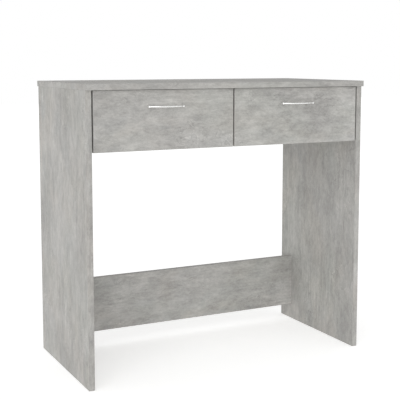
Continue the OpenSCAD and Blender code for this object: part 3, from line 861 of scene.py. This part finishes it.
def camShells(node):
    shells = []
    for solid in solidsOf(node):
        middle, axis, half = lyingAlong(solid, shortest=True)
        size = solid.max(axis=0) - solid.min(axis=0)
        radius = float(np.max(size)) / 2
        face = crossedFace(radius * cam["face"], cam["slotDepth"], middle + axis * half, axis, 0.0,
                           cam["rings"], cam["around"])
        profile = [(half - down, radius * share) for down, share in cam["topBevel"]]
        profile += [(up - half, radius * share) for up, share in cam["bottomBevel"]]
        shells.append(turned(face, profile, middle, axis))
    return shells


turnedNodes = [("cabinet_runner_screws", "runner_screws")]
for drawer in sides:
    turnedNodes += [(drawer + "_drawer_runner_screws", "runner_screws"),
                    (drawer + "_drawer_box_screws", "box_screws"),
                    (drawer + "_handle_screws", "handle_screws")]
for node, kind in turnedNodes:
    makePiece(node + "_turned", screwShells(node, screwKinds[kind]), materials["zinc"], nodeBody(node),
              [node])
camNodes = ["cam_locks"] + [drawer + "_drawer_cam_locks" for drawer in sides]
for node in camNodes:
    makePiece(node + "_cast", camShells(node), materials["zinc"], nodeBody(node), [node])
print("screws and cams:", len(turnedNodes) + len(camNodes))

for node in ["cam_bolts", "cabinet_roller_rivets"] + [
        drawer + tail for drawer in sides for tail in ("_drawer_cam_bolts", "_drawer_roller_rivets")]:
    finishNode(node, "zinc")
for node in ["dowels"] + [drawer + "_drawer_dowels" for drawer in sides]:
    finishNode(node, "beech")


# Rollers: nylon wheels with rounded rims, a web and a hub

roller = {
    "rim": 1.0 * mm, "rimSteps": 6, "around": 56, "bore": 2.55 * mm, "dish": 0.9 * mm,
    # How far under the tread the rim's side ends, at the face and in the dish
    "sideAtFace": 2.2 * mm, "sideInDish": 2.8 * mm,
    # The hub's radius, how much wider it is in the dish and at its top, and how deep its top is
    "hub": 3.0 * mm, "hubInDish": 1.6 * mm, "hubAtTop": 0.9 * mm, "hubSet": 0.2 * mm,
}


def rollerShell(node):
    # One closed outline of (along, radius) turned round the axle: rim, dished sides, bore
    low, high = (np.array(c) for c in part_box(node))
    middle, half, radius = (low + high) / 2, (high[0] - low[0]) / 2, (high[2] - low[2]) / 2
    rim, hub, dish, hubSet = roller["rim"], roller["hub"], roller["dish"], roller["hubSet"]
    t = np.linspace(0, np.pi / 2, roller["rimSteps"])
    crown = np.stack([half - rim + rim * np.cos(t), radius - rim + rim * np.sin(t)], axis=-1)
    outer = np.concatenate([crown, crown[::-1] * [-1, 1]])
    faceLow = [(-half, radius - roller["sideAtFace"]), (dish - half, radius - roller["sideInDish"]),
               (dish - half, hub + roller["hubInDish"]), (hubSet - half, hub + roller["hubAtTop"]),
               (hubSet - half, roller["bore"])]
    faceHigh = [(-a, b) for a, b in faceLow[::-1]]
    outline = np.concatenate([outer, faceLow, faceHigh])
    turn = circleTurns(roller["around"])
    points = np.stack([
        middle[0] + np.broadcast_to(outline[:, 0], (len(turn), len(outline))),
        middle[1] + outline[:, 1] * np.cos(turn)[:, None],
        middle[2] + outline[:, 1] * np.sin(turn)[:, None]], axis=-1)
    closed = np.concatenate([points, points[:1]])
    return weld(gridShell(closed, capped=False), points.shape[0] * points.shape[1])


def weld(shell, count):
    # The last row repeats the first, so its corners are taken back to the first row
    points, faces = shell
    return points[:count], faces % count


for drawer in sides:
    for side in sides:
        for place in ("bay", "drawer"):
            node = f"{drawer}_{place}_{side}_roller"
            makePiece(node + "_wheel", [rollerShell(node)], materials["nylon"], nodeBody(node),
                      [node])
print("rollers: 8")


# Runners: folded steel with a bend in every corner

steel = {"thick": 1.0 * mm, "bend": 1.6 * mm, "bendSteps": 5, "edge": 0.25 * mm, "rows": 6}


def folded(line):
    # Outline of sheet steel: the line of its outer face, then the same line moved in by the
    # sheet's thickness, with each bend an arc on both faces.
    thick, bend, edge = steel["thick"], steel["bend"], steel["edge"]
    line = np.array(line, float)
    heading = np.diff(line, axis=0)
    heading /= np.linalg.norm(heading, axis=1)[:, None]
    normal = np.stack([-heading[:, 1], heading[:, 0]], axis=-1)
    inner = [line[0] + normal[0] * thick]
    for k in range(1, len(line) - 1):
        inner.append(line[k] + (normal[k - 1] + normal[k]) * thick)
    inner.append(line[-1] + normal[-1] * thick)
    outerRadius = [edge] + [bend] * (len(line) - 2) + [edge]
    innerRadius = [edge] + [bend - thick] * (len(line) - 2) + [edge]
    outline = [(*p, r) for p, r in zip(line, outerRadius)]
    outline += [(*p, r) for p, r in zip(inner[::-1], innerRadius[::-1])]
    return roundedOutline(outline, steel["bendSteps"])


def runnerShell(outline, faceX, inwards, baseZ, fromY, toY):
    # Carries the outline along Y. Outline x counts from the face that the runner is on.
    rows = steel["rows"]
    path = np.stack([np.full(rows, faceX), np.linspace(fromY, toY, rows), np.full(rows, baseZ)], axis=-1)
    sideways = np.tile([inwards, 0.0, 0.0], (rows, 1))
    upwards = np.tile([0.0, 0.0, 1.0], (rows, 1))
    return sweep(path, outline, sideways, upwards)


def drawerRunner(node, side):
    # Foot under the box side, web beside it, riding flange on top: one folded strip
    low, high = (np.array(c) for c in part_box(node))
    tall = high[2] - low[2]
    boxLow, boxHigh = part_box(node.replace("_runner", "_side"))
    flange = (boxLow[0] - low[0]) if side == "left" else (high[0] - boxHigh[0])
    foot = (high[0] - low[0]) - flange
    # Drawn for the left side: x grows towards the drawer, from the outer edge of the flange
    line = [(flange + foot, 0), (flange - steel["thick"], 0), (flange - steel["thick"], tall), (0, tall)]
    outline = folded(line[::-1])
    faceX, inwards = (low[0], 1.0) if side == "left" else (high[0], -1.0)
    return runnerShell(outline, faceX, inwards, low[2], low[1], high[1])


for drawer in sides:
    for side in sides:
        node = f"{drawer}_drawer_{side}_runner"
        makePiece(node + "_folded", [drawerRunner(node, side)], materials["powder"], nodeBody(node),
                  [node])
        finishNode(f"{drawer}_bay_{side}_runner", "powder")
print("runners:", len(sides) ** 2)


# Floor, light and camera

stage = {
    "floorReach": 14.0, "floorLines": 9, "floorColour": (0.93, 0.93, 0.925), "floorShade": 0.985,
    "floorGrain": 60.0, "floorRoughness": 0.9, "floorGlow": 0.4,
}


def makeFloor():
    # A level grid round the desk: x and y follow the two parameters, z is the desk's base
    count = stage["floorLines"]
    line = np.linspace(-stage["floorReach"], stage["floorReach"], count)
    x, y = np.meshgrid(line, line, indexing="ij")
    points = np.stack([x, y, np.full_like(x, cadBox[0][2])], axis=-1)
    index = np.arange(count ** 2).reshape(count, count)
    quads = np.stack([index[:-1, :-1], index[1:, :-1], index[1:, 1:], index[:-1, 1:]], axis=-1)
    mesh = bpy.data.meshes.new("floor")
    mesh.from_pydata(points.reshape(-1, 3).tolist(), [], quads.reshape(-1, 4).tolist())
    material, tree, shader, place = shaderTree("palePaper")
    coat = useGroup(tree, "coat", place, Scale=stage["floorGrain"])
    shaded = tuple(c * stage["floorShade"] for c in stage["floorColour"])
    link(tree, blendColour(tree, coat.outputs["Tone"], shaded, stage["floorColour"]),
         shader.inputs["Base Color"])
    shader.inputs["Roughness"].default_value = stage["floorRoughness"]
    shader.inputs["Specular IOR Level"].default_value = 0.0
    shader.inputs["Emission Color"].default_value = (1.0, 1.0, 1.0, 1.0)
    shader.inputs["Emission Strength"].default_value = stage["floorGlow"]
    mesh.materials.append(material)
    floor = bpy.data.objects.new("floor", mesh)
    bpy.context.scene.collection.objects.link(floor)


makeFloor()

light = {
    "room": 0.68, "backdrop": 1.0,
    "keyStrength": 1.1, "keyFrom": (-40, 15), "keySpread": 60,
    "fillStrength": 0.06, "fillFrom": (-5, 10), "fillSpread": 50,
}


def makeWorld():
    # The backdrop is pure white, and the room round it lights the desk a little less
    world = bpy.data.worlds.new("studio")
    bpy.context.scene.world = world
    world.use_nodes = True
    tree = world.node_tree
    path = addNode(tree, "ShaderNodeLightPath")
    strength = remap(tree, path.outputs["Is Camera Ray"], 0.0, 1.0, light["room"], light["backdrop"])
    background = tree.nodes["Background"]
    background.inputs["Color"].default_value = (1.0, 1.0, 1.0, 1.0)
    link(tree, strength, background.inputs["Strength"])


makeWorld()


def addSun(name, strength, azimuth, elevation, width):
    # Azimuth 0 stands in front of the desk, and grows towards its right
    data = bpy.data.lights.new(name, "SUN")
    data.energy = strength
    data.angle = math.radians(width)
    sun = bpy.data.objects.new(name, data)
    sun.rotation_euler = (math.radians(90 - elevation), 0, math.radians(azimuth))
    bpy.context.scene.collection.objects.link(sun)


addSun("key", light["keyStrength"], *light["keyFrom"], light["keySpread"])
addSun("fill", light["fillStrength"], *light["fillFrom"], light["fillSpread"])

view = {
    "place": (-1.1181, -2.2139, 0.8054),
    "turn": 26.70, "tilt": 6.29,
    "lens": 81.4, "sensor": 36.0, "shiftY": -0.1, "near": 0.05, "far": 100.0,
}
lens = bpy.data.cameras.new("view")
lens.lens = view["lens"]
lens.sensor_width = view["sensor"]
lens.shift_y = view["shiftY"]
lens.clip_start, lens.clip_end = view["near"], view["far"]
camera = bpy.data.objects.new("view", lens)
camera.location = view["place"]
camera.rotation_euler = (math.radians(90 - view["tilt"]), 0, math.radians(-view["turn"]))
bpy.context.scene.collection.objects.link(camera)
bpy.context.scene.camera = camera
bpy.context.scene.view_settings.view_transform = "Standard"
print("stage, lights and camera")
